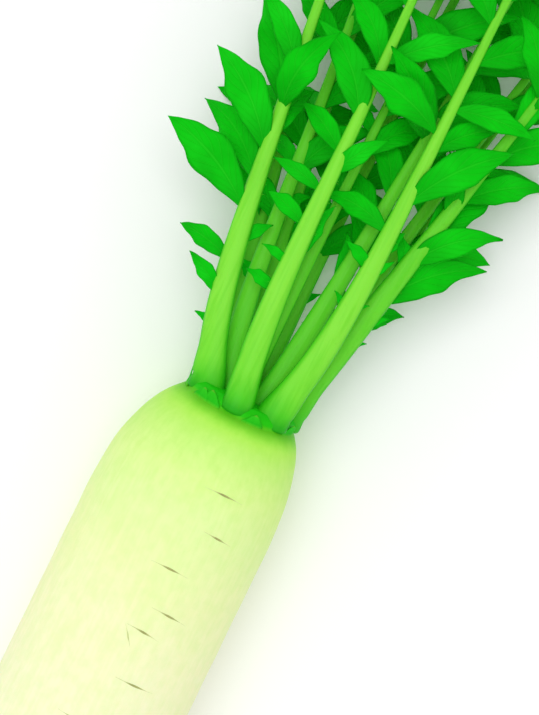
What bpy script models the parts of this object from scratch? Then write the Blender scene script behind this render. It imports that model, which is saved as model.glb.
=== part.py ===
"""A whole daikon radish with its leaves on, lying on its side.

The root lies along Y with its tail towards -Y and its leaves towards +Y, and +Z is up. The origin is the
middle of the narrow flat under the root that it rests on. The solids are the root with its crown, and
twelve leaves, each a fleshy stalk with its leaflets grown on. Lengths below are in millimetres.
"""
import math
import random

import bmesh
import bpy
from mathutils import Vector
from mathutils.bvhtree import BVHTree

MM = 0.001

# The root: distance back from the collar, and radius there
ROOT_PROFILE = (
    (-3.5, 21.5), (-1.0, 23.3), (1.5, 23.6), (4.0, 25.4), (8.0, 28.6), (14.0, 31.8), (22.0, 34.6),
    (34.0, 37.2), (50.0, 38.4), (70.0, 38.5), (100.0, 38.5), (130.0, 38.5), (160.0, 38.5), (190.0, 38.5),
    (218.0, 37.4), (244.0, 34.8), (268.0, 30.8), (290.0, 25.4), (308.0, 19.4), (322.0, 14.4), (333.0, 10.6),
    (342.0, 8.0), (352.0, 5.8), (364.0, 4.0), (378.0, 2.5), (392.0, 1.3),
)
ROOT_SIDES = 28
COLLAR_Y = 133.0
FLAT_DEPTH = 1.3
AXIS_Z = 38.5 - FLAT_DEPTH
TAIL_SIDEWAYS = -9.0
TAIL_DROP = 12.0
SKIN_UNEVEN = 0.25
ROOT_COLOUR = (0.84, 0.96, 0.52)
LEAF_COLOUR = (0.055, 0.46, 0.016)

# The crown: its collar sits a little to one side and faces a little upwards
CROWN_X = 4.2
CROWN_TILT = math.radians(11.0)
CROWN_REACH = 20.0
CROWN_FACE = 22.0
GROWTH_GAP = 0.3

# The leaves: stalk section and leaflet size, both by distance from the crown
STALK_STEP = 4.0
STALK_SIDES = 6
RING_EVERY = 7
STALK_TIP_WIDTH = 2.6
STALK_TAPER = 104.0
SIDE_ROLL = math.radians(30.0)
SETTLE = 34.0
FIRST_LEAFLET = 24.0
FULL_LENGTH = 43.0
FULL_AT = 74.0
LEAFLET_WIDE = (0.25, 0.34)
SPARSE_BELOW = 1.22
BLADE_THICK = 0.9
CLEAR = 0.9
END_LOBE_LONG = 66.0
END_LOBE_WIDE = 0.5
END_LOBE_TEETH = (0.34, 0.36, 0.3, 0.5)
END_LOBE_MARKS = (0.0, 0.15, 0.35, 0.41, 0.58, 0.78, 0.92, 1.0)

# One row for each leaf: seat on the crown across and up, base width, heading at the crown, heading further
# out, spread at the tip, length, height halfway, height at the tip, and the leaflets that don't follow the
# common rule as (distance, length, splay) on the left and on the right
LEAVES = (
    (-15.6, 7.6, 12.0, -27, -4.5, -10, 318, 60, 24,
     ((20, 9, 62), (30, 20, 46), (49, 27, 71), (68, 48, 57), (79, 45, 51), (91, 47, 43), (110, 50, 30)),
     ((58, 13, 46), (96, 34, 18), (114, 42, 24))),
    (-1.8, 15.8, 11.4, -13, 1, -11, 336, 72, 27,
     ((44, 14, 74), (57, 11, 74), (70, 20, 70), (88, 22, 80), (104, 27, 60), (122, 42, 48)),
     ((56, 28, 14), (98, 24, 35), (124, 40, 30))),
    (11.8, 12.8, 12.2, 21, -1, 7, 340, 70, 28,
     ((50, 8, 50), (68, 13, 66), (85, 31, 84), (126, 40, 78)),
     ((50, 8, 40), (62, 11, 30), (73, 15, 20), (95, 48, 38), (122, 30, 44), (140, 34, 84))),
    (17.4, 1.6, 12.0, 15, 12, 2, 322, 60, 24, ((72, 14, 40), (100, 26, 36), (140, 34, 12)),
     ((32, 9, 40), (42, 14, 28), (54, 48, 38), (75, 39, 38), (90, 45, 16), (108, 40, 44))),
    (-9.5, 3.4, 9.2, -17, -3, -12, 300, 44, 15, ((92, 22, 60),), ((70, 15, 40),)),
    (-1.5, 5.8, 6.2, -1, 1, -2, 306, 52, 17, ((70, 30, 40),), ((104, 36, 40),)),
    (6.7, 5.2, 9.6, 8, 5, 0, 312, 47, 17, ((48, 28, 16), (78, 34, 50)), ((110, 29, 32),)),
    (-4.8, -5.0, 9.4, -15, -6, -3, 300, 32, 11, (), ()),
    (9.4, -4.0, 9.2, 21, 9, 10, 304, 30, 11, (), ()),
    (-15.0, -8.2, 11.0, -14, -8, -18, 288, 16, 5, (), ()),
    (0.6, -15.0, 11.5, -2, 2, 2, 300, 8, 5, (), ()),
    (12.8, -12.2, 10.0, 18, 9, 16, 290, 14, 5, (), ()),
)
X_OF, UP_OF, WIDE_OF, LENGTH_OF, LEFT_OF, RIGHT_OF = 0, 1, 2, 6, 9, 10


def remove_everything():
    for thing in list(bpy.data.objects):
        bpy.data.objects.remove(thing)


def between(low, high, value):
    """How far the value is from low to high, from 0 to 1, easing in and out."""
    t = min(max((value - low) / (high - low), 0.0), 1.0)
    return t * t * (3.0 - 2.0 * t)


def root_centre(back):
    """The middle of the root at a distance back from the collar."""
    tail = between(120.0, 392.0, back)
    x = CROWN_X * math.exp(-max(back, 0.0) / CROWN_REACH) + TAIL_SIDEWAYS * tail * tail
    return Vector((x, COLLAR_Y - back, AXIS_Z - TAIL_DROP * tail * tail))


def root_rings():
    """Rings of points from the crown to the tail."""
    rings = []
    for back, radius in ROOT_PROFILE:
        tilt = CROWN_TILT * math.exp(-max(back, 0.0) / CROWN_REACH)
        centre = root_centre(back)
        ring = []
        for k in range(ROOT_SIDES):
            angle = 2.0 * math.pi * k / ROOT_SIDES
            uneven = SKIN_UNEVEN * math.sin(3.0 * angle + back / 37.0) * between(10.0, 60.0, back)
            r = max(radius + uneven * min(radius / 30.0, 1.0), 0.8)
            across = r * math.sin(angle)
            up = r * math.cos(angle)
            point = centre + Vector((across, -up * math.sin(tilt), up * math.cos(tilt)))
            point.z = max(point.z, 0.0)
            ring.append(point)
        rings.append(ring)
    return rings


def closed_mesh(rings):
    """Points and triangles of a closed skin over rings of equal count, split alike above and below."""
    count = len(rings[0])
    points = [p for ring in rings for p in ring]
    faces = []
    for i in range(len(rings) - 1):
        for j in range(count):
            a, b = i * count + j, i * count + (j + 1) % count
            c, d = b + count, a + count
            faces += [(a, b, c), (a, c, d)] if j < count // 2 else [(a, b, d), (b, c, d)]
    last = (len(rings) - 1) * count
    for j in range(1, count - 1):
        faces += [(0, j + 1, j), (last, last + j, last + j + 1)]
    return points, faces


def solid_object(name, rings):
    points, faces = closed_mesh(rings)
    shape = bmesh.new()
    corners = [shape.verts.new(p * MM) for p in points]
    for face in faces:
        shape.faces.new([corners[k] for k in face])
    bmesh.ops.recalc_face_normals(shape, faces=shape.faces)
    mesh = bpy.data.meshes.new(name)
    shape.to_mesh(mesh)
    shape.free()
    made = bpy.data.objects.new(name, mesh)
    bpy.context.scene.collection.objects.link(made)
    return made


def surface_tree(rings):
    points, faces = closed_mesh(rings)
    return BVHTree.FromPolygons(points, faces, epsilon=0.0)


def stalk_width(leaf, distance):
    taper = math.exp(-((distance / STALK_TAPER) ** 1.5))
    return STALK_TIP_WIDTH + (leaf[WIDE_OF] - STALK_TIP_WIDTH) * taper


def stalk_stations(leaf):
    """Centre, direction, width axis and thickness axis along a leaf's stalk, from the crown outwards."""
    across, upward, _, base, far, spread, length, halfway, end, _, _ = leaf
    up = Vector((0.0, -math.sin(CROWN_TILT), math.cos(CROWN_TILT)))
    out = Vector((0.0, math.cos(CROWN_TILT), math.sin(CROWN_TILT)))
    seat = root_centre(0.0) + out * (3.5 + GROWTH_GAP)
    start = seat + Vector((across, 0.0, 0.0)) + up * upward
    count = int(length / STALK_STEP)
    centres = [start]
    for i in range(1, count + 1):
        distance = (i - 0.5) * STALK_STEP
        heading = far + (base - far) * math.exp(-distance / SETTLE) + spread * (distance / length) ** 2
        heading = math.radians(heading)
        here = centres[-1] + Vector((math.sin(heading), math.cos(heading), 0.0)) * STALK_STEP
        t = i / count
        here.z = (1.0 - t) ** 2 * start.z + 2.0 * t * (1.0 - t) * halfway + t * t * end
        centres.append(here)
    stations = []
    for i, centre in enumerate(centres):
        direction = (centres[min(i + 1, count)] - centres[max(i - 1, 0)]).normalized()
        side = direction.cross(Vector((0.0, 0.0, 1.0))).normalized()
        normal = side.cross(direction)
        if i == 0:
            side, normal, direction = Vector((1.0, 0.0, 0.0)), up, out
        roll = SIDE_ROLL * across / CROWN_FACE * math.exp(-i * STALK_STEP / 60.0)
        wide = side * math.cos(roll) - normal * math.sin(roll)
        stations.append((centre, direction, wide, wide.cross(direction)))
    return stations


def stalk_rings(leaf, stations, sides):
    """Section rings of a stalk: rounded on the side away from the heart of the crown, flatter inside."""
    outward = 1.0 if leaf[UP_OF] > -7.0 else -1.0
    count = len(stations)
    rings = []
    for i in [0, 1, 4] + list(range(9, count - 3, RING_EVERY)) + [count - 1]:
        centre, _, side, normal = stations[i]
        wide = stalk_width(leaf, i * STALK_STEP)
        thick = wide * (0.58 + 0.2 * i / count)
        ring = []
        for k in range(sides):
            angle = 2.0 * math.pi * k / sides
            rise = math.sin(angle) * outward
            rise *= 1.0 if rise * outward > 0.0 else 0.7
            ring.append(centre + side * (0.5 * wide * math.cos(angle)) + normal * (0.5 * thick * rise))
        rings.append(ring)
    return rings


def leaflet_rows(leaf, seed):
    """Distance, length, splay, side and place in its row of every leaflet, from the crown outwards."""
    draw = random.Random(seed)
    length = leaf[LENGTH_OF]
    sparse = 1.0 if leaf[UP_OF] > 0.0 else SPARSE_BELOW
    rows = []
    for side, own in ((-1, leaf[LEFT_OF]), (1, leaf[RIGHT_OF])):
        row = list(own)
        distance = own[-1][0] + 19.0 if own else FIRST_LEAFLET + draw.uniform(6.0, 22.0)
        while distance < length - 20.0:
            long = 8.0 + (FULL_LENGTH - 8.0) * between(FIRST_LEAFLET, FULL_AT, distance)
            long *= draw.uniform(0.84, 1.1) * (1.0 + 0.18 * between(150.0, 300.0, distance))
            row.append((distance, long, draw.uniform(38.0, 60.0)))
            distance += (17.5 + 0.27 * long + draw.uniform(-2.0, 2.5)) * sparse
        rows += [(*leaflet, side, order) for order, leaflet in enumerate(row)]
    return sorted(rows)


def blade_half_width(u, tooth, depth, belly):
    """Half the width of a leaflet, for a full width of 1: narrow at the foot and the tip, with one tooth."""
    swell = math.log(0.5) / math.log(belly)
    bare = 0.5 * math.sin(math.pi * u ** swell) ** 1.25 if 0.0 < u < 1.0 else 0.0
    rise = max(1.0 - (tooth - u) / 0.18, 0.0) if u <= tooth else max(1.0 - (u - tooth) / 0.07, 0.0)
    return max(bare + 0.5 * depth * rise * min(5.0 * u, 1.0), 0.045)


def turned(first, second, degrees):
    """The first of two square directions, turned this far towards the second."""
    angle = math.radians(degrees)
    return first * math.cos(angle) + second * math.sin(angle)


def blade_rings(foot, ahead, normal, long, wide, arch, sweep, teeth, grow, stations):
    """Four-cornered rings of an arched blade from foot to tip, lying on the ground if it gets there."""
    rings = []
    centre = foot.copy()
    at = 0.0
    for u in stations:
        half_way = 0.5 * (u + at)
        level = turned(ahead, ahead.cross(normal), sweep * (half_way - 0.5))
        centre = centre + turned(level, normal, -arch * half_way) * (long * (u - at))
        at = u
        level = turned(ahead, ahead.cross(normal), sweep * (u - 0.5))
        face = turned(normal, level, arch * u)
        across = level.cross(normal)
        half = 0.5 * BLADE_THICK + grow
        left = centre - across * (wide * blade_half_width(u, teeth[0], teeth[2], teeth[3]) + grow)
        right = centre + across * (wide * blade_half_width(u, teeth[1], teeth[2], teeth[3]) + grow)
        ring = [left + face * half, right + face * half, right - face * half, left - face * half]
        lowest = ring[2].z + grow, ring[3].z + grow
        for k, low in ((1, lowest[0]), (2, lowest[0]), (0, lowest[1]), (3, lowest[1])):
            ring[k] = ring[k] + Vector((0.0, 0.0, max(-low, 0.0)))
        rings.append(ring)
    return rings


def first_clear(shapes, marks, standing):
    """The first of these blade shapes that is clear of everything that already stands."""
    for shape in shapes:
        tested = surface_tree(blade_rings(*shape, CLEAR, marks))
        if not any(tested.overlap(other) for other in standing):
            return shape
    return None


def leaflet_shapes(leaf, stations, row, teeth, draw):
    """A leaflet as it would grow, every other one turned a little up, then turned further, then shorter."""
    distance, long, splay, side, order = row
    centre, direction, across, normal = stations[min(int(round(distance / STALK_STEP)), len(stations) - 1)]
    arch = draw.uniform(8.0, 34.0)
    sweep = side * draw.uniform(22.0, 56.0)
    lean = draw.uniform(-4.0, 4.0) + (9.0 if order % 2 else -7.0)
    broad = draw.uniform(*LEAFLET_WIDE)
    reach = long + 0.4 * stalk_width(leaf, distance)
    flat = turned(direction, across * side, splay)
    for size in (1.0, 0.86, 0.72, 0.58, 0.44, 0.32):
        for shift in (0, 12, -12, 24, -24, 36, -36, 48, -48):
            ahead = turned(flat, normal, lean + shift)
            face = turned(normal, flat, -lean - shift)
            yield centre, ahead, face, reach * size, long * size * broad, arch, sweep, teeth


def end_lobe_shapes(stations, draw):
    """The broad lobe that ends a leaf, turned up or down, then smaller."""
    centre, direction, _, normal = stations[-2]
    arch = draw.uniform(6.0, 22.0)
    for size in (1.0, 0.85, 0.7, 0.55, 0.4):
        for shift in (0, 10, -10, 20, -20, 30):
            ahead = turned(direction, normal, shift)
            face = turned(normal, direction, -shift)
            long = END_LOBE_LONG * size
            yield centre, ahead, face, long, long * END_LOBE_WIDE, arch, 0.0, END_LOBE_TEETH


def leaflet_marks(teeth, long):
    """Where along a leaflet its outline has corners."""
    tooth = 0.5 * (teeth[0] + teeth[1])
    return (0.0, 0.5, 1.0) if long < 17.0 else (0.0, 0.2, 0.43, tooth, tooth + 0.08, 1.0)


def leaf_blades(leaf, stations, number, standing):
    """Shape and outline stations of every blade of a leaf. Each one is added to what stands."""
    draw = random.Random(100 + number)
    blades = []
    shape = first_clear(end_lobe_shapes(stations, draw), END_LOBE_MARKS, standing)
    if shape:
        blades.append((shape, END_LOBE_MARKS))
        standing.append(surface_tree(blade_rings(*shape, 0.0, END_LOBE_MARKS)))
    for row in leaflet_rows(leaf, 200 + number):
        left_tooth, right_tooth = draw.uniform(0.55, 0.67), draw.uniform(0.55, 0.67)
        teeth = (left_tooth, right_tooth, draw.uniform(0.04, 0.28), draw.uniform(0.38, 0.5))
        marks = leaflet_marks(teeth, row[1])
        sunk = min(0.5 * stalk_width(leaf, row[0]) / row[1], 0.9 * marks[1])
        shape = first_clear(leaflet_shapes(leaf, stations, row, teeth, draw), (sunk, *marks[1:]), standing)
        if shape:
            blades.append((shape, marks))
            standing.append(surface_tree(blade_rings(*shape, 0.0, marks)))
    return blades


def join_leaflets(stalk, leaflets):
    """Grows the leaflets onto their stalk, so that the leaf is one solid."""
    group = bpy.data.collections.new(stalk.name + "_leaflets")
    for leaflet in leaflets:
        bpy.context.scene.collection.objects.unlink(leaflet)
        group.objects.link(leaflet)
    union = stalk.modifiers.new("grown_together", "BOOLEAN")
    union.operation = "UNION"
    union.operand_type = "COLLECTION"
    union.collection = group
    union.solver = "MANIFOLD"
    graph = bpy.context.evaluated_depsgraph_get()
    joined = bpy.data.meshes.new_from_object(stalk.evaluated_get(graph))
    stalk.modifiers.clear()
    stalk.data = joined
    for leaflet in leaflets:
        bpy.data.objects.remove(leaflet)
    bpy.data.collections.remove(group)


def colour_material(name, colour, roughness):
    made = bpy.data.materials.new(name)
    made.use_nodes = True
    shader = made.node_tree.nodes["Principled BSDF"]
    shader.inputs["Base Color"].default_value = (*colour, 1.0)
    shader.inputs["Roughness"].default_value = roughness
    shader.inputs["Metallic"].default_value = 0.0
    return made


def grow_leaves(root_tree):
    """Every leaf as one object: all stalks first, then the blades of one leaf after another."""
    paths = [stalk_stations(leaf) for leaf in LEAVES]
    stalks = [stalk_rings(leaf, path, STALK_SIDES) for leaf, path in zip(LEAVES, paths)]
    trees = [surface_tree(rings) for rings in stalks]
    grown = []
    for number, (leaf, path) in enumerate(zip(LEAVES, paths)):
        standing = [root_tree] + trees[:number] + trees[number + 1:] + grown
        before = len(standing)
        blades = leaf_blades(leaf, path, number, standing)
        grown += standing[before:]
        name = f"leaf_{number + 1:02d}"
        stalk = solid_object(name, stalks[number])
        parts = [solid_object(f"{name}_{k}", blade_rings(*shape, 0.0, marks))
                 for k, (shape, marks) in enumerate(blades)]
        join_leaflets(stalk, parts)
        stalk.data.materials.clear()
        stalk.data.materials.append(colour_material(name, LEAF_COLOUR, 0.5))


remove_everything()
rings = root_rings()
root = solid_object("daikon_root", rings)
root.data.materials.append(colour_material("daikon_root", ROOT_COLOUR, 0.42))
root.data.shade_smooth()
grow_leaves(surface_tree(rings))
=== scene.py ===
import math
import random

import bmesh
import bpy
from mathutils import Matrix, Vector
from mathutils.bvhtree import BVHTree


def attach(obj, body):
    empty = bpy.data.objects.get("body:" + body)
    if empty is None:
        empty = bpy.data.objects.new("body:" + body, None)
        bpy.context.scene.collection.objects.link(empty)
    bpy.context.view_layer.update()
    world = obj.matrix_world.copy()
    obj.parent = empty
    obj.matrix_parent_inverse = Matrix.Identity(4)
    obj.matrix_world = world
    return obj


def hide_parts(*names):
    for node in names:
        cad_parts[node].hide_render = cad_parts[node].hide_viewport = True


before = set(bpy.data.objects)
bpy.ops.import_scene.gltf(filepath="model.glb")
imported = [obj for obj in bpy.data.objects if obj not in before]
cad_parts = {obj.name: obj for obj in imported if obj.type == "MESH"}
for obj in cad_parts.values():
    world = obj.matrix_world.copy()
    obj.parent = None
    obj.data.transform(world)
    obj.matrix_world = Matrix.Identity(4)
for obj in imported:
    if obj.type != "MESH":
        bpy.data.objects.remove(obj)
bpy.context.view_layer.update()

MM = 0.001


# The root: one swollen, crisp root with thin smooth skin, white below and green where it stood out of the
# ground. It narrows to a thin tail, and its crown is a short tilted disc that the leaves grow on.
# Rows of the profile are the distance back from the collar and the radius there, in millimetres.
ROOT_PROFILE = (
    (-3.5, 21.5), (-1.0, 23.3), (1.5, 23.6), (4.0, 25.4), (8.0, 28.6), (14.0, 31.8), (22.0, 34.6),
    (34.0, 37.2), (50.0, 38.4), (70.0, 38.5), (100.0, 38.5), (130.0, 38.5), (160.0, 38.5), (190.0, 38.5),
    (218.0, 37.4), (244.0, 34.8), (268.0, 30.8), (290.0, 25.4), (308.0, 19.4), (322.0, 14.4), (333.0, 10.6),
    (342.0, 8.0), (352.0, 5.8), (364.0, 4.0), (378.0, 2.5), (392.0, 1.3),
)
COLLAR_Y = 133.0
AXIS_Z = 37.2
TAIL_SIDEWAYS = -9.0
TAIL_DROP = 12.0
SKIN_UNEVEN = 0.25
CROWN_X = 4.2
CROWN_TILT = math.radians(11.0)
CROWN_REACH = 20.0
ROOT_ROUND = 128
ROOT_ALONG = 420
ROOT_CROWDING = 1.25
UPPER_RING_DEPTH = 0.06
LOWER_RING_DEPTH = 0.10
COLLAR_GROOVE_DEPTH = 0.35
COLLAR_GROOVE_WIDTH = 1.1
DENT_DEPTH = 0.35
DENT_WIDTH = 1.3
DENT_REACH = 4.0


def between(low, high, value):
    """How far the value is from low to high, from 0 to 1, easing in and out."""
    t = min(max((value - low) / (high - low), 0.0), 1.0)
    return t * t * (3.0 - 2.0 * t)


def root_radius(back):
    """The profile's radius, with a smooth curve through its rows."""
    rows = ROOT_PROFILE
    k = max(i for i in range(len(rows) - 1) if rows[i][0] <= back or i == 0)
    (x0, r0), (x1, r1) = rows[k], rows[k + 1]
    before, after = rows[max(k - 1, 0)], rows[min(k + 2, len(rows) - 1)]
    slope0 = (r1 - before[1]) / (x1 - before[0])
    slope1 = (after[1] - r0) / (after[0] - x0)
    width = x1 - x0
    t = (back - x0) / width
    return (
        r0 * (1.0 + 2.0 * t) * (1.0 - t) ** 2 + width * slope0 * t * (1.0 - t) ** 2
        + r1 * t * t * (3.0 - 2.0 * t) + width * slope1 * t * t * (t - 1.0)
    )


def root_centre(back):
    """The middle of the root at a distance back from the collar."""
    tail = between(120.0, 392.0, back)
    x = CROWN_X * math.exp(-max(back, 0.0) / CROWN_REACH) + TAIL_SIDEWAYS * tail * tail
    return Vector((x, COLLAR_Y - back, AXIS_Z - TAIL_DROP * tail * tail))


def ring_point(back, angle, radius):
    """A point at this radius round the root's middle. The angle is taken from its top, towards +X."""
    tilt = CROWN_TILT * math.exp(-max(back, 0.0) / CROWN_REACH)
    across, up = radius * math.sin(angle), radius * math.cos(angle)
    point = root_centre(back) + Vector((across, -up * math.sin(tilt), up * math.cos(tilt)))
    point.z = max(point.z, 0.0)
    return point


def root_point(back, angle, proud=0.0):
    """A point of the skin, or one that stands a little proud of it."""
    radius = root_radius(back)
    uneven = SKIN_UNEVEN * math.sin(3.0 * angle + back / 37.0) * between(10.0, 60.0, back)
    return ring_point(back, angle, max(radius + uneven * min(radius / 30.0, 1.0), 0.8) + proud)


def root_scars():
    """Distance back, angle and length of each scar of a side root: one row on top and one below."""
    seen = (
        (34.3, 20.0, 19.0), (51.2, 28.0, 15.0), (69.8, 10.0, 18.0), (86.9, 22.5, 18.0), (96.6, 12.5, 16.0),
        (116.8, 22.0, 19.0), (138.0, -2.0, 16.0),
    )
    draw = random.Random(7)
    rows = list(seen)
    back = 158.0
    while back < 318.0:
        long = 15.0 * root_radius(back) / 38.5 * draw.uniform(0.7, 1.1)
        rows.append((back, draw.uniform(-4.0, 26.0), long))
        back += draw.uniform(11.0, 20.0)
    back = 44.0
    while back < 318.0:
        rows.append((back, 190.0 + draw.uniform(-16.0, 16.0), 14.0 * root_radius(back) / 38.5))
        back += draw.uniform(14.0, 24.0)
    return [(back, math.radians(angle), long) for back, angle, long in rows]


def wrinkle(back, angle, scars):
    """Relief of the skin: faint rings round the root, a shallow collar line, and a dent at each scar."""
    lower = math.sin(back / 1.9 + 1.3 * math.sin(2.0 * angle)) * between(150.0, 320.0, back)
    upper = math.sin(back / 3.7 + math.sin(angle)) * between(6.0, 30.0, back)
    off_collar = (back - 2.2 - 0.8 * math.sin(5.0 * angle)) / COLLAR_GROOVE_WIDTH
    relief = LOWER_RING_DEPTH * lower + UPPER_RING_DEPTH * upper
    relief -= COLLAR_GROOVE_DEPTH * math.exp(-(off_collar ** 2))
    for at, middle, long in scars:
        if abs(back - at) < DENT_REACH:
            arc = (angle - middle + math.pi) % (2.0 * math.pi) - math.pi
            arc *= root_radius(at)
            shallower = ((back - at) / DENT_WIDTH) ** 2 + (arc / (0.45 * long)) ** 4
            relief -= DENT_DEPTH * math.exp(-shallower)
    return relief


def new_piece(name, shape, material):
    """A smooth-shaded object from a bmesh, standing at the origin."""
    mesh = bpy.data.meshes.new(name)
    shape.to_mesh(mesh)
    shape.free()
    mesh.shade_smooth()
    mesh.materials.append(material)
    made = bpy.data.objects.new(name, mesh)
    bpy.context.scene.collection.objects.link(made)
    return made


def new_material(name, roughness):
    """A material with its node tree and its shader."""
    made = bpy.data.materials.new(name)
    made.use_nodes = True
    shader = made.node_tree.nodes["Principled BSDF"]
    shader.inputs["Roughness"].default_value = roughness
    return made, made.node_tree, shader


def add_node(tree, kind, settings=(), **values):
    """A shader node, with its settings and the values of its inputs."""
    made = tree.nodes.new(kind)
    for key, value in dict(settings).items():
        setattr(made, key, value)
    for key, value in values.items():
        made.inputs[key.replace("_", " ")].default_value = value
    return made


def colour_ramp(tree, factor, stops):
    """Colours that follow a value from 0 to 1. Each stop is where it lies and its colour."""
    ramp = tree.nodes.new("ShaderNodeValToRGB")
    while len(ramp.color_ramp.elements) < len(stops):
        ramp.color_ramp.elements.new(0.5)
    for element, (at, colour) in zip(ramp.color_ramp.elements, stops):
        element.position = at
        element.color = (*colour, 1.0)
    tree.links.new(factor, ramp.inputs["Fac"])
    return ramp.outputs["Color"]


def mix_colours(tree, factor, first, second, blend="MIX"):
    """Mixes two colours. A factor that is a number is set on the node."""
    made = tree.nodes.new("ShaderNodeMix")
    made.data_type = "RGBA"
    made.blend_type = blend
    for socket, value in (("Factor_Float", factor), ("A_Color", first), ("B_Color", second)):
        target = next(s for s in made.inputs if s.identifier == socket)
        if isinstance(value, bpy.types.NodeSocket):
            tree.links.new(value, target)
        else:
            target.default_value = value if socket == "Factor_Float" else (*value, 1.0)
    return next(s for s in made.outputs if s.identifier == "Result_Color")


def own_map(tree):
    """A piece's own UV map, with its two coordinates one by one."""
    uv = tree.nodes.new("ShaderNodeUVMap")
    split = tree.nodes.new("ShaderNodeSeparateXYZ")
    tree.links.new(uv.outputs["UV"], split.inputs["Vector"])
    return split.outputs["X"], split.outputs["Y"]


def calculated(tree, operation, first, second=None):
    """A sum with one input that is linked and, for most operations, a second that is linked or a number."""
    made = add_node(tree, "ShaderNodeMath", {"operation": operation})
    tree.links.new(first, made.inputs[0])
    if isinstance(second, bpy.types.NodeSocket):
        tree.links.new(second, made.inputs[1])
    elif second is not None:
        made.inputs[1].default_value = second
    return made.outputs[0]


def tone_and_shade_value(tree):
    """The number that each point of a piece holds for its tint: random tone on leaflets, painted shade on
    stalks.
    """
    tint = tree.nodes.new("ShaderNodeAttribute")
    tint.attribute_name = "tint"
    return tint.outputs["Fac"]


def add_bump(tree, shader, height, settings=(), **values):
    """Fine relief on a shader."""
    bump = add_node(tree, "ShaderNodeBump", settings, **values)
    tree.links.new(height, bump.inputs["Height"])
    tree.links.new(bump.outputs["Normal"], shader.inputs["Normal"])


def soften(shader, specular, weight=0.0, scale=0.0):
    """How shiny a shader is and, for crisp flesh, how much light goes into it and how deep."""
    shader.inputs["Specular IOR Level"].default_value = specular
    if weight:
        shader.inputs["Subsurface Weight"].default_value = weight
        shader.inputs["Subsurface Scale"].default_value = scale


def stretched_noise(tree, scale, detail, stretch):
    """Noise in the object's own metres, drawn out along one or two axes."""
    place = add_node(tree, "ShaderNodeTexCoord")
    mapping = tree.nodes.new("ShaderNodeMapping")
    mapping.inputs["Scale"].default_value = stretch
    tree.links.new(place.outputs["Object"], mapping.inputs["Vector"])
    noise = add_node(tree, "ShaderNodeTexNoise", Scale=scale, Detail=detail)
    tree.links.new(mapping.outputs["Vector"], noise.inputs["Vector"])
    return noise.outputs["Fac"]


def along_root(back):
    """Where a distance back from the collar falls on the root's own UV map, from 0 to 1."""
    first, last = ROOT_PROFILE[0][0], ROOT_PROFILE[-1][0]
    return ((back - first) / (last - first)) ** (1.0 / ROOT_CROWDING)


def root_skin():
    """Cream at the tail, yellow-green at the shoulder, and deep green with a darker line at the collar."""
    made, tree, shader = new_material("daikon_skin", 0.46)
    along, _ = own_map(tree)
    cloud = stretched_noise(tree, 34.0, 4.0, (1.0, 0.6, 1.0))
    loosened = add_node(tree, "ShaderNodeMapRange", To_Min=0.72, To_Max=1.28)
    tree.links.new(cloud, loosened.inputs["Value"])
    way = calculated(tree, "MULTIPLY", along, loosened.outputs["Result"])
    colours = (
        (-3.5, (0.012, 0.50, 0.004)), (0.0, (0.02, 0.54, 0.004)), (2.6, (0.11, 0.64, 0.012)),
        (5.5, (0.30, 0.78, 0.055)), (9.0, (0.46, 0.86, 0.11)), (15.5, (0.54, 0.88, 0.185)),
        (32.0, (0.71, 0.92, 0.31)), (47.0, (0.76, 0.93, 0.385)), (73.0, (0.85, 0.93, 0.465)),
        (105.0, (0.915, 0.93, 0.565)), (150.0, (0.93, 0.93, 0.62)), (300.0, (0.90, 0.89, 0.69)),
        (392.0, (0.78, 0.72, 0.48)),
    )
    base = colour_ramp(tree, way, [(along_root(back), colour) for back, colour in colours])
    rim_line = ((0.4, 0.0), (2.6, 0.5), (4.2, 0.25), (7.0, 0.0))
    rim_stops = [(along_root(back), (grey, grey, grey)) for back, grey in rim_line]
    rim = colour_ramp(tree, way, rim_stops)
    rimmed = mix_colours(tree, rim, base, (0.12, 0.38, 0.014))
    streak = stretched_noise(tree, 90.0, 5.0, (7.0, 0.35, 7.0))
    lines = colour_ramp(tree, streak, ((0.35, (0.94, 0.98, 0.88)), (0.62, (1.0, 1.0, 1.0))))
    lined = mix_colours(tree, 0.6, rimmed, lines, "MULTIPLY")
    mottle = stretched_noise(tree, 260.0, 8.0, (1.0, 0.7, 1.0))
    clouds = colour_ramp(tree, mottle, ((0.36, (0.88, 0.97, 0.80)), (0.60, (1.0, 1.0, 1.0))))
    coloured = mix_colours(tree, 0.5, lined, clouds, "MULTIPLY")
    rings = stretched_noise(tree, 60.0, 6.0, (0.5, 6.0, 0.5))
    add_bump(tree, shader, rings, Strength=0.16, Distance=0.0006)
    tree.links.new(coloured, shader.inputs["Base Color"])
    soften(shader, 0.06, 0.08, 0.004)
    return made


def wrapped_grid(shape, around, along, place, shade=(0.0, 1.0)):
    """A tube from a flat grid: place(turn, way) gives each point, the seam is welded and the ends closed."""
    made = bmesh.ops.create_grid(shape, x_segments=along, y_segments=around, size=0.5, calc_uvs=True)
    for vert in made["verts"]:
        vert.co = place(vert.co.y + 0.5, vert.co.x + 0.5) * MM
    bmesh.ops.remove_doubles(shape, verts=made["verts"], dist=1e-7)
    faces = {face for vert in made["verts"] if vert.is_valid for face in vert.link_faces}
    uv = shape.loops.layers.uv.active
    for loop in [loop for face in faces for loop in face.loops]:
        loop[uv].uv.x = shade[0] + (shade[1] - shade[0]) * loop[uv].uv.x
    edges = {edge for face in faces for edge in face.edges if edge.is_boundary}
    closing = bmesh.ops.holes_fill(shape, edges=list(edges), sides=0)["faces"]
    for loop in [loop for face in closing for loop in face.loops]:
        beside = next(other for other in loop.vert.link_loops if other.face not in closing)
        loop[uv].uv = beside[uv].uv
    bmesh.ops.recalc_face_normals(shape, faces=list(faces) + closing)


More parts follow.
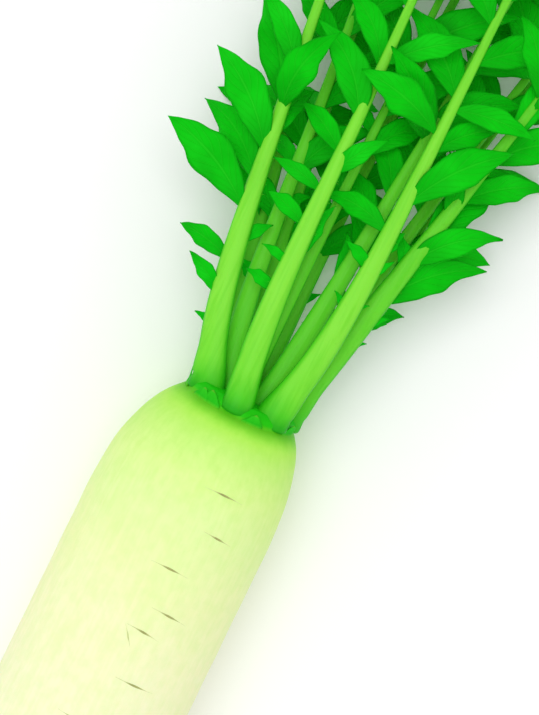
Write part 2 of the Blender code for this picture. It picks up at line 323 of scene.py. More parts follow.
def skin_place(turn, way):
    """The point of the skin at these shares of the way round and along the root."""
    first, last = ROOT_PROFILE[0][0], ROOT_PROFILE[-1][0]
    back = first + (last - first) * way ** ROOT_CROWDING
    angle = 2.0 * math.pi * turn
    return root_point(back, angle, wrinkle(back, angle, scars))


scars = root_scars()
shape = bmesh.new()
shape.loops.layers.uv.new("UVMap")
wrapped_grid(shape, ROOT_ROUND, ROOT_ALONG, skin_place)
root = new_piece("root_flesh", shape, root_skin())
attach(root, "root")
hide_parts("daikon_root")


# Where side roots grew: a thin corky line lies across the skin at each place, in a shallow dent, and a few
# hair-fine side roots are left on the lower root and the tail. Both grew out of the root. The stray line is
# a faint thin one that runs off one scar: how far back, angle, length, bow, slant and part of the colours.
SCAR_HALF_WIDTH = 0.48
SCAR_RISE = 0.16
SCAR_CELLS = (8, 20)
STRAY_LINE = (99.8, math.radians(4.8), 6.0, 0.0, 3.75, (0.08, 0.3))
ROOTLETS = 26
ROOTLET_RADIUS = (0.41, 0.07)
ROOTLET_SUNK = 0.4
ROOTLET_CELLS = (5, 14)
ROOTLET_BACKWARD = 0.8


def cork_skin():
    """Olive-brown patchy cork, darkest in the middle of each scar and fading into the skin at its ends."""
    made, tree, shader = new_material("scar_cork", 0.8)
    along, _ = own_map(tree)
    base = colour_ramp(tree, along, (
        (0.0, (0.74, 0.86, 0.41)), (0.28, (0.60, 0.66, 0.26)), (0.43, (0.37, 0.38, 0.13)),
        (0.56, (0.42, 0.44, 0.15)), (0.74, (0.63, 0.70, 0.29)), (1.0, (0.76, 0.88, 0.43)),
    ))
    patches = stretched_noise(tree, 420.0, 3.0, (1.0, 1.0, 1.0))
    worn = colour_ramp(tree, patches, ((0.35, (0.66, 0.66, 0.6)), (0.65, (1.0, 1.0, 1.0))))
    tree.links.new(mix_colours(tree, 0.7, base, worn, "MULTIPLY"), shader.inputs["Base Color"])
    soften(shader, 0.2)
    return made


def rootlet_skin():
    """Cream, browner towards the tip of each side root."""
    made, tree, shader = new_material("side_root", 0.7)
    along, _ = own_map(tree)
    base = colour_ramp(tree, along, ((0.0, (0.86, 0.84, 0.60)), (1.0, (0.62, 0.50, 0.27))))
    tree.links.new(base, shader.inputs["Base Color"])
    return made


def add_scar(shape, at, middle, long, bow, slant, shade=(0.0, 1.0)):
    """A flat spindle that lies along the dent, bowed and slanted a little, with long thin ends."""

    def place(turn, way):
        along = 2.0 * way - 1.0
        fat = 0.12 + 0.88 * math.exp(-((along / 0.42) ** 2))
        back = at + bow * (1.0 - along * along) + slant * along
        angle = middle + 0.46 * long * along / root_radius(back)
        section = 2.0 * math.pi * turn
        proud = wrinkle(back, angle, scars) + SCAR_RISE * fat * math.sin(section)
        return root_point(back + SCAR_HALF_WIDTH * fat * math.cos(section), angle, proud)

    wrapped_grid(shape, *SCAR_CELLS, place, shade)


def add_rootlet(shape, start, angle, long, draw):
    """A side root that runs back along the skin and lifts off it."""
    lift, wander, phase = draw.uniform(0.1, 0.5), draw.uniform(0.1, 0.35), draw.uniform(0.0, 6.3)

    def place(turn, way):
        thick = ROOTLET_RADIUS[0] * (1.0 - way) + ROOTLET_RADIUS[1] * way
        section = 2.0 * math.pi * turn
        back = start + long * way * ROOTLET_BACKWARD
        aside = angle + wander * math.sin(4.0 * way + phase) * way * min(8.0 / root_radius(start), 2.0)
        proud = lift * long * way ** 1.6 + thick * math.sin(section) - ROOTLET_SUNK
        point = root_point(back, aside + thick * math.cos(section) / max(root_radius(back), 1.0), proud)
        point.z = max(point.z, 0.05)
        return point

    wrapped_grid(shape, *ROOTLET_CELLS, place)


draw = random.Random(31)
shape = bmesh.new()
shape.loops.layers.uv.new("UVMap")
for back, angle, long in scars:
    add_scar(shape, back, angle, long, draw.uniform(-0.4, 0.4), draw.uniform(0.2, 1.0))
add_scar(shape, *STRAY_LINE)
lines = new_piece("root_scars", shape, cork_skin())

shape = bmesh.new()
shape.loops.layers.uv.new("UVMap")
for _ in range(ROOTLETS):
    back = 250.0 + 122.0 * draw.random() ** 0.7
    long = min(draw.uniform(8.0, 24.0), (390.0 - back) / ROOTLET_BACKWARD)
    add_rootlet(shape, back, draw.uniform(0.0, 2.0 * math.pi), long, draw)
side_roots = new_piece("side_roots", shape, rootlet_skin())
for piece in (lines, side_roots):
    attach(piece, "root")


# Sheath scales: small thin tongues round the collar, left where the first leaves fell off, with dry tips.
# They grow out of the rim of the crown and lie against the bases of the stalks.
# Rows are the angle round the root in degrees, the length, the width and how far the tip leans.
SCALES = (
    (-80, 7.5, 6.5, -1.6), (-43, 5.5, 8.0, 0.8), (-30, 6.5, 9.0, -0.8), (17, 5.5, 8.5, -0.5),
    (63, 5.5, 8.0, 0.5), (108, 6.0, 9.0, -0.6), (156, 6.0, 9.5, 0.5), (202, 6.0, 10.0, -0.5),
    (226, 6.5, 11.0, 0.6),
)
SCALE_FOOT = 2.9
SCALE_THICK = 0.4


def scale_skin():
    """Deep green with fine streaks, lighter at the foot and duller at the dry tip."""
    made, tree, shader = new_material("sheath_scale", 0.6)
    along, _ = own_map(tree)
    base = colour_ramp(tree, along, (
        (0.0, (0.12, 0.58, 0.02)), (0.3, (0.02, 0.50, 0.01)), (0.85, (0.03, 0.56, 0.012)),
        (1.0, (0.14, 0.46, 0.03)),
    ))
    streak = stretched_noise(tree, 900.0, 2.0, (1.0, 0.2, 1.0))
    lines = colour_ramp(tree, streak, ((0.35, (0.7, 0.85, 0.6)), (0.6, (1.0, 1.0, 1.0))))
    tree.links.new(mix_colours(tree, 0.5, base, lines, "MULTIPLY"), shader.inputs["Base Color"])
    soften(shader, 0.05)
    return made


def add_scale(shape, angle, long, wide, lean):
    """A tongue that follows the rim of the crown and stands off it a little at its tip."""
    made = bmesh.ops.create_grid(shape, x_segments=10, y_segments=6, size=0.5, calc_uvs=True)
    for vert in made["verts"]:
        along, aside = vert.co.x + 0.5, 2.0 * vert.co.y
        half = 0.5 * wide * (1.0 - along ** 2.2) * (1.0 + 0.1 * math.sin(8.0 * along)) + 0.1
        back = SCALE_FOOT - long * along
        radius = root_radius(SCALE_FOOT) - 0.5 + 0.8 * along ** 1.5
        turn = math.radians(angle) + (aside * half + lean * along ** 2) / radius
        vert.co = ring_point(back, turn, radius) * MM


shape = bmesh.new()
shape.loops.layers.uv.new("UVMap")
for row in SCALES:
    add_scale(shape, *row)
bmesh.ops.recalc_face_normals(shape, faces=list(shape.faces))
bmesh.ops.solidify(shape, geom=list(shape.faces), thickness=SCALE_THICK * MM)
scales = new_piece("sheath_scales", shape, scale_skin())
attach(scales, "root")


# The leaves: each one is a crisp, ridged stalk, wide and flat where it grows on the crown, with soft
# toothed leaflets along both sides that get longer up the stalk, and a broad lobe at its end.
# Rows are: seat on the crown across and up, base width, heading at the crown, heading further out, spread
# at the tip, length, height halfway, height at the tip, and the leaflets that don't follow the common
# rule as (distance, length, splay) on the left and on the right.
LEAVES = (
    (-15.6, 7.6, 12.0, -27, -4.5, -10, 318, 60, 24,
     ((20, 9, 62), (30, 20, 46), (49, 27, 71), (68, 48, 57), (79, 45, 51), (91, 47, 43), (110, 50, 30)),
     ((58, 13, 46), (96, 34, 18), (114, 42, 24))),
    (-1.8, 15.8, 11.4, -13, 1, -11, 336, 72, 27,
     ((44, 14, 74), (57, 11, 74), (70, 20, 70), (88, 22, 80), (104, 27, 60), (122, 42, 48)),
     ((56, 28, 14), (98, 24, 35), (124, 40, 30))),
    (11.8, 12.8, 12.2, 21, -1, 7, 340, 70, 28,
     ((50, 8, 50), (68, 13, 66), (85, 31, 84), (126, 40, 78)),
     ((50, 8, 40), (62, 11, 30), (73, 15, 20), (95, 48, 38), (122, 30, 44), (140, 34, 84))),
    (17.4, 1.6, 12.0, 15, 12, 2, 322, 60, 24, ((72, 14, 40), (100, 26, 36), (140, 34, 12)),
     ((32, 9, 40), (42, 14, 28), (54, 48, 38), (75, 39, 38), (90, 45, 16), (108, 40, 44))),
    (-9.5, 3.4, 9.2, -17, -3, -12, 300, 44, 15, ((92, 22, 60),), ((70, 15, 40),)),
    (-1.5, 5.8, 6.2, -1, 1, -2, 306, 52, 17, ((70, 30, 40),), ((104, 36, 40),)),
    (6.7, 5.2, 9.6, 8, 5, 0, 312, 47, 17, ((48, 28, 16), (78, 34, 50)), ((110, 29, 32),)),
    (-4.8, -5.0, 9.4, -15, -6, -3, 300, 32, 11, (), ()),
    (9.4, -4.0, 9.2, 21, 9, 10, 304, 30, 11, (), ()),
    (-15.0, -8.2, 11.0, -14, -8, -18, 288, 16, 5, (), ()),
    (0.6, -15.0, 11.5, -2, 2, 2, 300, 8, 5, (), ()),
    (12.8, -12.2, 10.0, 18, 9, 16, 290, 14, 5, (), ()),
)
X_OF, UP_OF, WIDE_OF, LENGTH_OF, LEFT_OF, RIGHT_OF = 0, 1, 2, 6, 9, 10

CROWN_FACE = 22.0
GROWTH_GAP = 0.3
STALK_STEP = 4.0
STALK_SIDES = 6
RING_EVERY = 7
STALK_TIP_WIDTH = 2.6
STALK_TAPER = 104.0
SIDE_ROLL = math.radians(30.0)
SETTLE = 34.0
FIRST_LEAFLET = 24.0
FULL_LENGTH = 43.0
FULL_AT = 74.0
LEAFLET_WIDE = (0.25, 0.34)
SPARSE_BELOW = 1.22
BLADE_THICK = 0.9
CLEAR = 0.9
END_LOBE_LONG = 66.0
END_LOBE_WIDE = 0.5
END_LOBE_TEETH = (0.34, 0.36, 0.3, 0.5)
END_LOBE_MARKS = (0.0, 0.15, 0.35, 0.41, 0.58, 0.78, 0.92, 1.0)


def closed_mesh(rings):
    """Points and triangles of a closed skin over rings of equal count, split alike above and below."""
    count = len(rings[0])
    points = [p for ring in rings for p in ring]
    faces = []
    for i in range(len(rings) - 1):
        for j in range(count):
            a, b = i * count + j, i * count + (j + 1) % count
            c, d = b + count, a + count
            faces += [(a, b, c), (a, c, d)] if j < count // 2 else [(a, b, d), (b, c, d)]
    last = (len(rings) - 1) * count
    for j in range(1, count - 1):
        faces += [(0, j + 1, j), (last, last + j, last + j + 1)]
    return points, faces


def surface_tree(rings):
    points, faces = closed_mesh(rings)
    return BVHTree.FromPolygons(points, faces, epsilon=0.0)


def stalk_width(leaf, distance):
    taper = math.exp(-((distance / STALK_TAPER) ** 1.5))
    return STALK_TIP_WIDTH + (leaf[WIDE_OF] - STALK_TIP_WIDTH) * taper


def stalk_stations(leaf):
    """Centre, direction, width axis and thickness axis along a leaf's stalk, from the crown outwards."""
    across, upward, _, base, far, spread, length, halfway, end, _, _ = leaf
    up = Vector((0.0, -math.sin(CROWN_TILT), math.cos(CROWN_TILT)))
    out = Vector((0.0, math.cos(CROWN_TILT), math.sin(CROWN_TILT)))
    seat = root_centre(0.0) + out * (3.5 + GROWTH_GAP)
    start = seat + Vector((across, 0.0, 0.0)) + up * upward
    count = int(length / STALK_STEP)
    centres = [start]
    for i in range(1, count + 1):
        distance = (i - 0.5) * STALK_STEP
        heading = far + (base - far) * math.exp(-distance / SETTLE) + spread * (distance / length) ** 2
        heading = math.radians(heading)
        here = centres[-1] + Vector((math.sin(heading), math.cos(heading), 0.0)) * STALK_STEP
        t = i / count
        here.z = (1.0 - t) ** 2 * start.z + 2.0 * t * (1.0 - t) * halfway + t * t * end
        centres.append(here)
    stations = []
    for i, centre in enumerate(centres):
        direction = (centres[min(i + 1, count)] - centres[max(i - 1, 0)]).normalized()
        side = direction.cross(Vector((0.0, 0.0, 1.0))).normalized()
        normal = side.cross(direction)
        if i == 0:
            side, normal, direction = Vector((1.0, 0.0, 0.0)), up, out
        roll = SIDE_ROLL * across / CROWN_FACE * math.exp(-i * STALK_STEP / 60.0)
        wide = side * math.cos(roll) - normal * math.sin(roll)
        stations.append((centre, direction, wide, wide.cross(direction)))
    return stations


def stalk_rings(leaf, stations, sides):
    """Section rings of a stalk: rounded on the side away from the heart of the crown, flatter inside."""
    outward = 1.0 if leaf[UP_OF] > -7.0 else -1.0
    count = len(stations)
    rings = []
    for i in [0, 1, 4] + list(range(9, count - 3, RING_EVERY)) + [count - 1]:
        centre, _, side, normal = stations[i]
        wide = stalk_width(leaf, i * STALK_STEP)
        thick = wide * (0.58 + 0.2 * i / count)
        ring = []
        for k in range(sides):
            angle = 2.0 * math.pi * k / sides
            rise = math.sin(angle) * outward
            rise *= 1.0 if rise * outward > 0.0 else 0.7
            ring.append(centre + side * (0.5 * wide * math.cos(angle)) + normal * (0.5 * thick * rise))
        rings.append(ring)
    return rings


def leaflet_rows(leaf, seed):
    """Distance, length, splay, side and place in its row of every leaflet, from the crown outwards."""
    draw = random.Random(seed)
    length = leaf[LENGTH_OF]
    sparse = 1.0 if leaf[UP_OF] > 0.0 else SPARSE_BELOW
    rows = []
    for side, own in ((-1, leaf[LEFT_OF]), (1, leaf[RIGHT_OF])):
        row = list(own)
        distance = own[-1][0] + 19.0 if own else FIRST_LEAFLET + draw.uniform(6.0, 22.0)
        while distance < length - 20.0:
            long = 8.0 + (FULL_LENGTH - 8.0) * between(FIRST_LEAFLET, FULL_AT, distance)
            long *= draw.uniform(0.84, 1.1) * (1.0 + 0.18 * between(150.0, 300.0, distance))
            row.append((distance, long, draw.uniform(38.0, 60.0)))
            distance += (17.5 + 0.27 * long + draw.uniform(-2.0, 2.5)) * sparse
        rows += [(*leaflet, side, order) for order, leaflet in enumerate(row)]
    return sorted(rows)


def blade_half_width(u, tooth, depth, belly):
    """Half the width of a leaflet, for a full width of 1: narrow at the foot and the tip, with one tooth."""
    swell = math.log(0.5) / math.log(belly)
    bare = 0.5 * math.sin(math.pi * u ** swell) ** 1.25 if 0.0 < u < 1.0 else 0.0
    rise = max(1.0 - (tooth - u) / 0.18, 0.0) if u <= tooth else max(1.0 - (u - tooth) / 0.07, 0.0)
    return max(bare + 0.5 * depth * rise * min(5.0 * u, 1.0), 0.045)


def turned(first, second, degrees):
    """The first of two square directions, turned this far towards the second."""
    angle = math.radians(degrees)
    return first * math.cos(angle) + second * math.sin(angle)


def blade_rings(foot, ahead, normal, long, wide, arch, sweep, teeth, grow, stations):
    """Four-cornered rings of an arched blade from foot to tip, lying on the ground if it gets there."""
    rings = []
    centre = foot.copy()
    at = 0.0
    for u in stations:
        half_way = 0.5 * (u + at)
        level = turned(ahead, ahead.cross(normal), sweep * (half_way - 0.5))
        centre = centre + turned(level, normal, -arch * half_way) * (long * (u - at))
        at = u
        level = turned(ahead, ahead.cross(normal), sweep * (u - 0.5))
        face = turned(normal, level, arch * u)
        across = level.cross(normal)
        half = 0.5 * BLADE_THICK + grow
        left = centre - across * (wide * blade_half_width(u, teeth[0], teeth[2], teeth[3]) + grow)
        right = centre + across * (wide * blade_half_width(u, teeth[1], teeth[2], teeth[3]) + grow)
        ring = [left + face * half, right + face * half, right - face * half, left - face * half]
        lowest = ring[2].z + grow, ring[3].z + grow
        for k, low in ((1, lowest[0]), (2, lowest[0]), (0, lowest[1]), (3, lowest[1])):
            ring[k] = ring[k] + Vector((0.0, 0.0, max(-low, 0.0)))
        rings.append(ring)
    return rings


def first_clear(shapes, marks, standing):
    """The first of these blade shapes that is clear of everything that already stands."""
    for shape in shapes:
        tested = surface_tree(blade_rings(*shape, CLEAR, marks))
        if not any(tested.overlap(other) for other in standing):
            return shape
    return None


def leaflet_shapes(leaf, stations, row, teeth, draw):
    """A leaflet as it would grow, every other one turned a little up, then turned further, then shorter."""
    distance, long, splay, side, order = row
    centre, direction, across, normal = stations[min(int(round(distance / STALK_STEP)), len(stations) - 1)]
    arch = draw.uniform(8.0, 34.0)
    sweep = side * draw.uniform(22.0, 56.0)
    lean = draw.uniform(-4.0, 4.0) + (9.0 if order % 2 else -7.0)
    broad = draw.uniform(*LEAFLET_WIDE)
    reach = long + 0.4 * stalk_width(leaf, distance)
    flat = turned(direction, across * side, splay)
    for size in (1.0, 0.86, 0.72, 0.58, 0.44, 0.32):
        for shift in (0, 12, -12, 24, -24, 36, -36, 48, -48):
            ahead = turned(flat, normal, lean + shift)
            face = turned(normal, flat, -lean - shift)
            yield centre, ahead, face, reach * size, long * size * broad, arch, sweep, teeth


def end_lobe_shapes(stations, draw):
    """The broad lobe that ends a leaf, turned up or down, then smaller."""
    centre, direction, _, normal = stations[-2]
    arch = draw.uniform(6.0, 22.0)
    for size in (1.0, 0.85, 0.7, 0.55, 0.4):
        for shift in (0, 10, -10, 20, -20, 30):
            ahead = turned(direction, normal, shift)
            face = turned(normal, direction, -shift)
            long = END_LOBE_LONG * size
            yield centre, ahead, face, long, long * END_LOBE_WIDE, arch, 0.0, END_LOBE_TEETH


def leaflet_marks(teeth, long):
    """Where along a leaflet its outline has corners."""
    tooth = 0.5 * (teeth[0] + teeth[1])
    return (0.0, 0.5, 1.0) if long < 17.0 else (0.0, 0.2, 0.43, tooth, tooth + 0.08, 1.0)


def leaf_blades(leaf, stations, number, standing):
    """Shape and outline stations of every blade of a leaf. Each one is added to what stands."""
    draw = random.Random(100 + number)
    blades = []
    shape = first_clear(end_lobe_shapes(stations, draw), END_LOBE_MARKS, standing)
    if shape:
        blades.append((shape, END_LOBE_MARKS))
        standing.append(surface_tree(blade_rings(*shape, 0.0, END_LOBE_MARKS)))
    for row in leaflet_rows(leaf, 200 + number):
        left_tooth, right_tooth = draw.uniform(0.55, 0.67), draw.uniform(0.55, 0.67)
        teeth = (left_tooth, right_tooth, draw.uniform(0.04, 0.28), draw.uniform(0.38, 0.5))
        marks = leaflet_marks(teeth, row[1])
        sunk = min(0.5 * stalk_width(leaf, row[0]) / row[1], 0.9 * marks[1])
        shape = first_clear(leaflet_shapes(leaf, stations, row, teeth, draw), (sunk, *marks[1:]), standing)
        if shape:
            blades.append((shape, marks))
            standing.append(surface_tree(blade_rings(*shape, 0.0, marks)))
    return blades


STALK_MAP_END = 312.0
BASE_SUNK = 7.0
BASE_FLARE = 0.12
BASE_LENGTH = 17.0
RIM_RADIUS = 24.9
STALK_ROUND = 36
STALK_CELLS = 104
COARSE_SIDES = 28
BRISTLES = 240
BRISTLE_LONG = 1.1
BRISTLE_RADIUS = 0.07
STALK_CROWDING = 1.6
VEIN_SLANT = 0.62
VEIN_SPACING = 0.062


def along_stalk(distance):
    """Where a distance from the crown falls on a stalk's own UV map, from 0 to 1."""
    return ((distance + BASE_SUNK) / (STALK_MAP_END + BASE_SUNK)) ** (1.0 / STALK_CROWDING)


def stalk_skin():
    """Crisp light green, paler and yellower on the ridges, dark green where it is grown on the crown."""
    made, tree, shader = new_material("leaf_stalk", 0.4)
    along, around = own_map(tree)
    colours = (
        (-7.0, (0.02, 0.34, 0.008)), (-3.6, (0.025, 0.42, 0.010)), (1.0, (0.08, 0.58, 0.018)),
        (10.0, (0.18, 0.70, 0.036)), (36.0, (0.23, 0.74, 0.048)), (125.0, (0.20, 0.71, 0.038)),
        (235.0, (0.11, 0.62, 0.022)), (STALK_MAP_END, (0.04, 0.48, 0.012)),
    )
    base = colour_ramp(tree, along, [(along_stalk(at), colour) for at, colour in colours])
    streak = stretched_noise(tree, 240.0, 4.0, (2.2, 0.10, 2.2))
    lines = colour_ramp(tree, streak, ((0.36, (0.62, 0.86, 0.45)), (0.56, (1.0, 1.0, 1.0))))
    coloured = mix_colours(tree, 0.45, base, lines, "MULTIPLY")
    # The tint makes stalks that sit low or in the middle of the crown a deeper green: painted shade.
    toned = mix_colours(tree, tone_and_shade_value(tree), coloured, (0.055, 0.56, 0.014))
    # Painted shade: each stalk is made a deeper green along both of its side edges, as where stalks lie side
    # by side.
    side_shade = colour_ramp(tree, calculated(tree, "PINGPONG", around, 0.25), (
        (0.0, (0.20, 0.74, 0.15)), (0.055, (0.42, 0.84, 0.34)), (0.12, (1.0, 1.0, 1.0)),
    ))
    side_shaded = mix_colours(tree, 1.0, toned, side_shade, "MULTIPLY")
    add_bump(tree, shader, streak, Strength=0.25, Distance=0.0004)
    tree.links.new(side_shaded, shader.inputs["Base Color"])
    soften(shader, 0.1, 0.06, 0.002)
    return made


def faded(tree, value, near, far, strength):
    """A value that has this strength up to one distance and fades to nothing at another."""
    made = add_node(tree, "ShaderNodeMapRange", {"interpolation_type": "SMOOTHSTEP"},
                    From_Min=near, From_Max=far, To_Min=strength, To_Max=0.0)
    tree.links.new(value, made.inputs["Value"])
    return made.outputs["Result"]


def vein_height(tree, along, across):
    """Height of the midrib and of the side veins that run forward from it, on a blade's own UV map."""
    aside = calculated(tree, "ABSOLUTE", calculated(tree, "SUBTRACT", across, 0.5))
    run = calculated(tree, "SUBTRACT", along, calculated(tree, "MULTIPLY", aside, VEIN_SLANT))
    side_veins = faded(tree, calculated(tree, "PINGPONG", run, VEIN_SPACING), 0.0, 0.018, 0.55)
    return calculated(tree, "MAXIMUM", side_veins, faded(tree, aside, 0.012, 0.05, 1.0))


def blade_skin():
    """Vivid green with a slightly uneven surface, a darker outline, and paler midrib and side veins."""
    made, tree, shader = new_material("leaf_blade", 0.5)
    along, across = own_map(tree)
    veins = vein_height(tree, along, across)
    cloud = stretched_noise(tree, 55.0, 4.0, (1.0, 1.0, 1.0))
    base = colour_ramp(tree, cloud, (
        (0.30, (0.001, 0.40, 0.002)), (0.50, (0.001, 0.52, 0.003)), (0.70, (0.004, 0.60, 0.006)),
    ))
    toned = mix_colours(tree, tone_and_shade_value(tree), base, (0.004, 0.58, 0.006))
    # Painted shade: each leaflet is darker towards its foot, where it meets the stalk, and a little darker
    # at its tip.
    foot_shade = colour_ramp(tree, along, (
        (0.0, (0.8, 0.66, 0.6)), (0.22, (0.8, 0.74, 0.7)), (0.5, (1.0, 1.0, 1.0)), (1.0, (0.9, 0.9, 0.9)),
    ))
    inward = calculated(tree, "PINGPONG", across, 0.5)
    edge = colour_ramp(tree, inward, ((0.0, (0.42, 0.66, 0.42)), (0.09, (1.0, 1.0, 1.0))))
    shaded = mix_colours(tree, 0.8, toned, foot_shade, "MULTIPLY")
    outlined = mix_colours(tree, 0.75, shaded, edge, "MULTIPLY")
    coloured = mix_colours(tree, calculated(tree, "MULTIPLY", veins, 0.26), outlined, (0.025, 0.60, 0.014))
    add_bump(tree, shader, veins, {"invert": True}, Strength=0.5, Distance=0.0006)
    tree.links.new(coloured, shader.inputs["Base Color"])
    soften(shader, 0.05)
    return made


BLADE_LONG_CELLS = 26
BLADE_WIDE_CELLS = 12
BLADE_SKIN = 0.4
BLADE_OFF_GROUND = 0.12
TIP_CUT_AT = 0.965
EDGE_WAVE = 0.022
SMALL_FULLER = 0.3


def fine_half_width(u, teeth, side, phase):
    """The leaflet's outline with rounded lobes, a few shallow waves, and a short blunt tip."""
    outline = [
        blade_half_width(min(max(TIP_CUT_AT * u + step, 0.0), 1.0), teeth[side], teeth[2], teeth[3])
        for step in (-0.035, 0.0, 0.0, 0.035)
    ]
    waves = EDGE_WAVE * math.sin(21.0 * u + phase) * between(0.2, 0.4, u) * (1.0 - between(0.78, 0.92, u))
    rounding = math.sqrt(max(1.0 - between(0.9, 1.0, u) ** 2, 0.0))
    return (sum(outline) / 4.0 + waves) * (0.04 + 0.96 * rounding)


def spread_blade(shape, tone_and_shade_layer, blade, number):
    """One leaflet as a fine grid laid over the coarse blade's own curve, folded and waved a little."""
    foot, ahead, normal, long, wide, arch, sweep, teeth = blade
    draw = random.Random(900 + number)
    fold = math.tan(math.radians(draw.uniform(4.0, 17.0)))
    waves, phases = draw.uniform(1.6, 2.9), (draw.uniform(0.0, 6.3), draw.uniform(0.0, 6.3))
    ruffle = draw.uniform(0.03, 0.07) * wide
    tint = draw.uniform(0.0, 0.45)
    fullness = 1.0 + SMALL_FULLER * (1.0 - between(16.0, 32.0, long))
    centres, frames = [foot.copy()], []
    for k in range(BLADE_LONG_CELLS + 1):
        u = k / BLADE_LONG_CELLS
        level = turned(ahead, ahead.cross(normal), sweep * (u - 0.5))
        frames.append((level.cross(normal), turned(normal, level, arch * u)))
        way = turned(level, normal, -arch * u)
        centres.append(centres[-1] + way * (long / BLADE_LONG_CELLS))
    made = bmesh.ops.create_grid(shape, x_segments=BLADE_LONG_CELLS, y_segments=BLADE_WIDE_CELLS, size=0.5,
                                 calc_uvs=True)
    for vert in made["verts"]:
        u, v = vert.co.x + 0.5, -2.0 * vert.co.y
        k = int(round(u * BLADE_LONG_CELLS))
        across, face = frames[k]
        side = 0 if v < 0.0 else 1
        half = fullness * wide * fine_half_width(u, teeth, side, phases[side])
        wave = math.sin(2.0 * math.pi * waves * u + phases[side])
        lift = abs(v) * half * fold + ruffle * abs(v) ** 1.6 * wave
        point = centres[k] + across * (v * half) + face * (lift * between(0.0, 0.2, u))
        point.z = max(point.z, BLADE_SKIN + BLADE_OFF_GROUND)
        vert.co = point * MM
        vert[tone_and_shade_layer] = tint


def leaflet_sheet(blades, number):
    """All the leaflets of one leaf as thin solid blades."""
    shape = bmesh.new()
    shape.loops.layers.uv.new("UVMap")
    tone_and_shade_layer = shape.verts.layers.float.new("tint")
    for k, (blade, _) in enumerate(blades):
        spread_blade(shape, tone_and_shade_layer, blade, 60 * number + k)
    bmesh.ops.solidify(shape, geom=list(shape.faces), thickness=BLADE_SKIN * MM)
    return shape


def stalk_frame(stations, at):
    """Centre, width axis and thickness axis between two stations. A negative place is behind the seat."""
    if at < 0.0:
        centre, ahead, side, normal = stations[0]
        return centre + ahead * (at * STALK_STEP), side, normal
    k = min(int(at), len(stations) - 2)
    first, second = stations[k], stations[k + 1]
    return (first[i].lerp(second[i], at - k) for i in (0, 2, 3))


def stalk_section(angle, inner, distance):
    """How far a ridged section goes along its two axes, for half a width and half a thickness of 1."""
    rise = math.sin(angle)
    if inner:
        channel = 0.45 * math.exp(-((math.cos(angle) / 0.5) ** 2))
        rise *= 0.7 - channel * between(0.0, 30.0, distance)
    ridge = 1.0 + 0.024 * math.cos(13.0 * angle) * between(-2.0, 14.0, distance)
    return math.cos(angle) * ridge, rise * ridge


def add_bristles(shape, place, draw):
    """Short stiff hairs that stand out from a stalk, sunk a little into it."""
    uv = shape.loops.layers.uv.active
    for _ in range(BRISTLES):
        turn, way = draw.random(), draw.uniform(0.2, 0.98)
        foot = place(turn, way)
        out = (foot - place(turn + 0.5, way)).normalized()
        out += Vector([draw.uniform(-0.35, 0.35) for _ in range(3)])
        out.normalize()
        middle = Matrix.Translation((foot + out * (0.38 * BRISTLE_LONG)) * MM)
        made = bmesh.ops.create_cone(
            shape, cap_ends=True, cap_tris=False, segments=3, radius1=BRISTLE_RADIUS * MM,
            radius2=0.2 * BRISTLE_RADIUS * MM, depth=BRISTLE_LONG * MM,
            matrix=middle @ out.to_track_quat("Z", "Y").to_matrix().to_4x4(),
        )
        for loop in [loop for vert in made["verts"] for loop in vert.link_loops]:
            loop[uv].uv = (way, 0.25)


def fine_stalk(leaf, stations, draw):
    """The stalk with a rounded, ridged back, a channel on its inner side, and a wide base over the rim."""
    outward = 1.0 if leaf[UP_OF] > -7.0 else -1.0
    count = len(stations) - 1
    seat = Vector((leaf[X_OF], 0.0, leaf[UP_OF]))
    away = seat.normalized()
    clasping = between(11.0, 15.0, seat.length)

    def place(turn, way):
        at = (count + BASE_SUNK / STALK_STEP) * way ** STALK_CROWDING - BASE_SUNK / STALK_STEP
        centre, side, normal = stalk_frame(stations, at)
        distance = at * STALK_STEP
        base = 1.0 - between(-4.0, BASE_LENGTH, distance)
        wide = 0.5 * stalk_width(leaf, max(distance, 0.0)) * (1.0 + BASE_FLARE * base)
        thick = wide * (0.58 + 0.2 * max(at, 0.0) / count)
        angle = 2.0 * math.pi * turn
        aside, rise = stalk_section(angle, math.sin(angle) < 0.0, distance)
        closing = 1.0 - 0.5 * between(count - 3, count, at)
        closing *= math.sqrt(1.0 - (1.0 - between(-BASE_SUNK - 0.6, -BASE_SUNK + 2.6, distance)) ** 2)
        offset = (side * (wide * aside) + normal * (thick * rise * outward)) * closing
        support = math.hypot(wide * side.dot(away), thick * normal.dot(away))
        reach = clasping * base * max(RIM_RADIUS - seat.length - support, 0.0)
        outer = 0.5 + 0.5 * max(min(offset.dot(away) / support, 1.0), -1.0)
        return centre + offset + away * (reach * outer * closing)

    shape = bmesh.new()
    shape.loops.layers.uv.new("UVMap")
    wrapped_grid(shape, STALK_ROUND, STALK_CELLS, place)
    add_bristles(shape, place, draw)
    # Painted shade: stalks that sit low or in the middle of the crown, under the others, get a tint that
    # deepens their green.
    inside = 1.0 - between(12.0, 15.5, seat.length)
    below = 1.0 - between(0.0, 8.0, leaf[UP_OF])
    tone_and_shade_layer = shape.verts.layers.float.new("tint")
    for vert in shape.verts:
        vert[tone_and_shade_layer] = 0.55 * max(inside, below)
    return shape


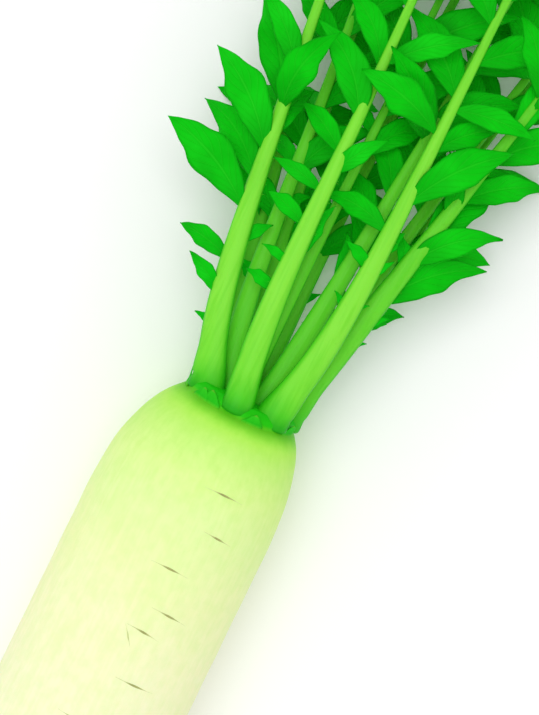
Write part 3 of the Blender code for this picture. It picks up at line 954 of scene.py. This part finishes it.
stalk_material, blade_material = stalk_skin(), blade_skin()
turns = [2.0 * math.pi * k / COARSE_SIDES for k in range(COARSE_SIDES)]
root_tree = surface_tree([[root_point(back, turn) for turn in turns] for back, _ in ROOT_PROFILE])
paths = [stalk_stations(leaf) for leaf in LEAVES]
trees = [surface_tree(stalk_rings(leaf, path, STALK_SIDES)) for leaf, path in zip(LEAVES, paths)]
grown = []
for number, (leaf, path) in enumerate(zip(LEAVES, paths)):
    node = f"leaf_{number + 1:02d}"
    standing = [root_tree] + trees[:number] + trees[number + 1:] + grown
    before = len(standing)
    blades = leaf_blades(leaf, path, number, standing)
    grown += standing[before:]
    stalk_shape = fine_stalk(leaf, path, random.Random(400 + number))
    for piece in (new_piece(f"{node}_stalk", stalk_shape, stalk_material),
                  new_piece(f"{node}_leaflets", leaflet_sheet(blades, number), blade_material)):
        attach(piece, "root")
        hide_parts(node)


# The setting: a plain white surface under the radish, soft light from all round and from a broad lamp high
# above, a little to the left, and the camera straight above with the root turned as in the picture.
FLOOR_SIZE = 4.0
SURROUND_LIGHT = 0.78
LAMP_SIZE = 1.4
LAMP_WATTS = 14.0
LAMP_PLACE = (-0.3, 0.3, 1.9)
LAMP_AIM = (0.0, 0.1, 0.0)
CAMERA_PLACE = (0.0054, 0.1538, 0.998)
PICTURE_TURN = math.radians(26.0)

floor_shape = bmesh.new()
bmesh.ops.create_grid(floor_shape, x_segments=1, y_segments=1, size=FLOOR_SIZE)
white, _, floor_shader = new_material("white_surface", 0.9)
floor_shader.inputs["Base Color"].default_value = (0.99, 0.99, 0.99, 1.0)
floor = new_piece("floor", floor_shape, white)
floor.location.z = -0.0002

world = bpy.data.worlds.new("studio")
world.use_nodes = True
world.node_tree.nodes["Background"].inputs["Color"].default_value = (1.0, 1.0, 1.0, 1.0)
world.node_tree.nodes["Background"].inputs["Strength"].default_value = SURROUND_LIGHT
bpy.context.scene.world = world

lamp = bpy.data.lights.new("soft_box", "AREA")
lamp.size = LAMP_SIZE
lamp.energy = LAMP_WATTS
lamp_object = bpy.data.objects.new("soft_box", lamp)
bpy.context.scene.collection.objects.link(lamp_object)
lamp_object.location = LAMP_PLACE
lamp_way = Vector(LAMP_AIM) - Vector(LAMP_PLACE)
lamp_object.rotation_euler = lamp_way.to_track_quat("-Z", "Y").to_euler()

camera = bpy.data.cameras.new("camera")
camera.lens = 120.0
camera_object = bpy.data.objects.new("camera", camera)
bpy.context.scene.collection.objects.link(camera_object)
camera_object.location = CAMERA_PLACE
camera_object.rotation_euler = (0.0, 0.0, PICTURE_TURN)
bpy.context.scene.camera = camera_object
bpy.context.scene.view_settings.view_transform = "Standard"
